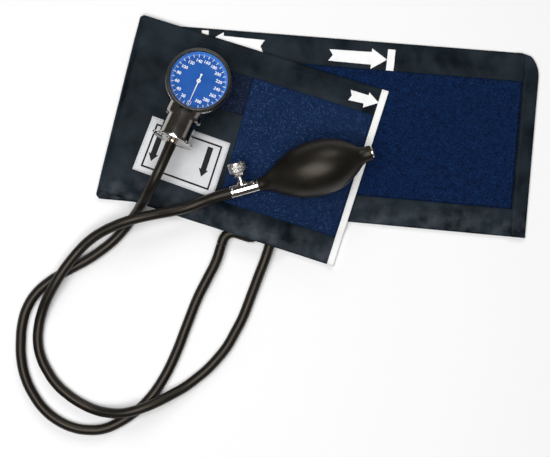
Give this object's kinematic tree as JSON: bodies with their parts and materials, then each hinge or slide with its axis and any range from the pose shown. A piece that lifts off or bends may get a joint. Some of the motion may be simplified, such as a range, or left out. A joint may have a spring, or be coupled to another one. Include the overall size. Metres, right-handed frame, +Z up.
{
  "type": "sphygmomanometer",
  "caption": "Aneroid blood pressure set: folded arm cuff with hook and loop panels, clipped-on dial gauge, hoses and a hand bulb with a release valve.",
  "frame": {"origin": "under the middle of the cuff, gauge and bulb taken together, on the surface that the cuff lies on", "axes": "+X along the cuff from its fold to the tail's end, +Y across the cuff to the side away from the hoses, +Z up"},
  "size_m": [0.4096, 0.3287, 0.0545],
  "materials": {
    "nylon": "coated nylon, slightly glossy, dark navy grey",
    "hook_fabric": "hook fabric, blue with fine bright hooks",
    "loop_fabric": "loop fabric, dark blue, matt and velvety",
    "webbing": "woven webbing, near black",
    "white_tape": "white binding tape",
    "label_cloth": "light grey printed label cloth",
    "rubber": "smooth black rubber, soft sheen",
    "bladder_rubber": "thin grey rubber",
    "black_enamel": "black enamel",
    "chrome": "polished chrome",
    "steel": "plain steel",
    "brass": "plain brass",
    "dial_blue": "printed blue dial",
    "needle_white": "white painted pointer",
    "glass": "clear lens"
  },
  "bodies": {
    "cuff": {"cuff_outer_cloth": "nylon", "cuff_inner_cloth": "nylon", "bladder": "bladder_rubber", "bladder_elbow": "rubber", "bladder_spout": "rubber", "loop_panel": "loop_fabric", "hook_panel": "hook_fabric", "tail_hem": "nylon", "index_tape": "white_tape", "sewn_label": "label_cloth", "gauge_strap": "webbing", "gauge_case": "black_enamel", "bezel_ring": "black_enamel", "gauge_lens": "glass", "dial_plate": "dial_blue", "dial_ring": "dial_blue", "hairspring": "brass", "capsule": "brass", "capsule_socket": "brass", "movement_base_plate": "brass", "movement_top_plate": "brass", "movement_pillar_1": "brass", "movement_pillar_2": "brass", "movement_pillar_3": "brass", "plate_screw_1": "steel", "plate_screw_2": "steel", "plate_screw_3": "steel", "belt_clip": "steel", "clip_rivet_1": "steel", "clip_rivet_2": "steel", "gauge_neck": "chrome", "neck_end_cap": "chrome", "bulb_shell": "rubber", "inlet_valve_body": "chrome", "bulb_nipple": "chrome", "valve_body": "chrome", "gauge_hose": "rubber", "bulb_hose": "rubber"},
    "pointer": {"needle": "needle_white", "pinion_arbor": "steel"},
    "sector": {"sector_gear": "brass"},
    "rocker": {"rocking_shaft": "steel"},
    "push_rod": {"push_rod": "steel"},
    "screw_ring": {"screw_seal": "rubber"},
    "screw": {"thumb_screw": "chrome"},
    "inlet_disc": {"inlet_valve_disc": "rubber"},
    "outlet_disc": {"check_disc": "rubber"}
  },
  "joints": [
    {"name": "pointer_turn", "type": "hinge", "parent": "cuff", "child": "pointer", "pos_m": [-0.09157, 0.04415, 0.03436], "axis": [-0.0624, -0.1435, -0.9877], "range_deg": [0, 338], "deforming": ["hairspring"]},
    {"name": "sector_turn", "type": "hinge", "parent": "cuff", "child": "sector", "pos_m": [-0.08635, 0.05614, 0.02743], "axis": [0.0624, 0.1435, 0.9877], "range_deg": [0, 37.6]},
    {"name": "rocker_turn", "type": "hinge", "parent": "cuff", "child": "rocker", "pos_m": [-0.08623, 0.05267, 0.02681], "axis": [-0.3938, -0.9058, 0.1564], "range_deg": [0, 24.1]},
    {"name": "push_rod_slide", "type": "slide", "parent": "cuff", "child": "push_rod", "axis": [0.0624, 0.1435, 0.9877], "range_m": [0, 0.001], "stiffness_N_per_m": 20, "springref_m": -0.0005, "deforming": ["capsule"]},
    {"name": "screw_travel", "type": "slide", "parent": "cuff", "child": "screw_ring", "axis": [-0.2869, 0.9504, 0.1204], "range_m": [0, 0.0014]},
    {"name": "screw_turn", "type": "hinge", "parent": "screw_ring", "child": "screw", "pos_m": [-0.06035, -0.02889, 0.02423], "axis": [-0.2869, 0.9504, 0.1204], "range_deg": [0, 720]},
    {"name": "inlet_disc_slide", "type": "slide", "parent": "cuff", "child": "inlet_disc", "axis": [-0.9508, -0.2673, -0.1564], "range_m": [0, 0.0008]},
    {"name": "outlet_disc_slide", "type": "slide", "parent": "cuff", "child": "outlet_disc", "axis": [-0.9508, -0.2673, -0.1564], "range_m": [0, 0.0008]}
  ],
  "couplings": [
    {"joint": "rocker_turn", "follows": "push_rod_slide", "rad_per_m": 418.87},
    {"joint": "sector_turn", "follows": "push_rod_slide", "rad_per_m": 655.46},
    {"joint": "pointer_turn", "follows": "push_rod_slide", "rad_per_m": 5899.2},
    {"joint": "screw_turn", "follows": "screw_travel", "rad_per_m": 8975.9}
  ]
}
